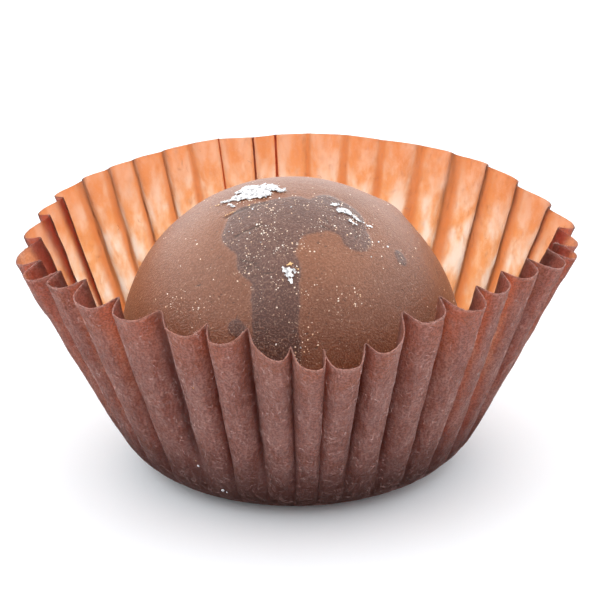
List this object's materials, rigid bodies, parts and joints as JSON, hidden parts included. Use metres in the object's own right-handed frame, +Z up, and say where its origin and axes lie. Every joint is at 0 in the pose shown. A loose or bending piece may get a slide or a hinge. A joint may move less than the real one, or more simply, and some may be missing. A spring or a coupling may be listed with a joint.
{
  "type": "chocolate truffle in a paper case",
  "caption": "Round milk chocolate truffle with a dark splash and metallic leaf flecks, sitting in a flared, pleated brown paper candy cup.",
  "frame": {"origin": "centre of the paper case's flat bottom, on the surface it stands on", "axes": "+Z up through the middle of the truffle; -Y is the side with the dark splash"},
  "size_m": [0.0461, 0.0462, 0.0235],
  "materials": {
    "glassine_paper": "thin translucent brown glassine paper with a soft sheen",
    "milk_chocolate": "satin milk chocolate with a darker chocolate splash and metallic leaf"
  },
  "bodies": {
    "root": {"paper_case": "glassine_paper", "truffle": "milk_chocolate"}
  },
  "joints": []
}
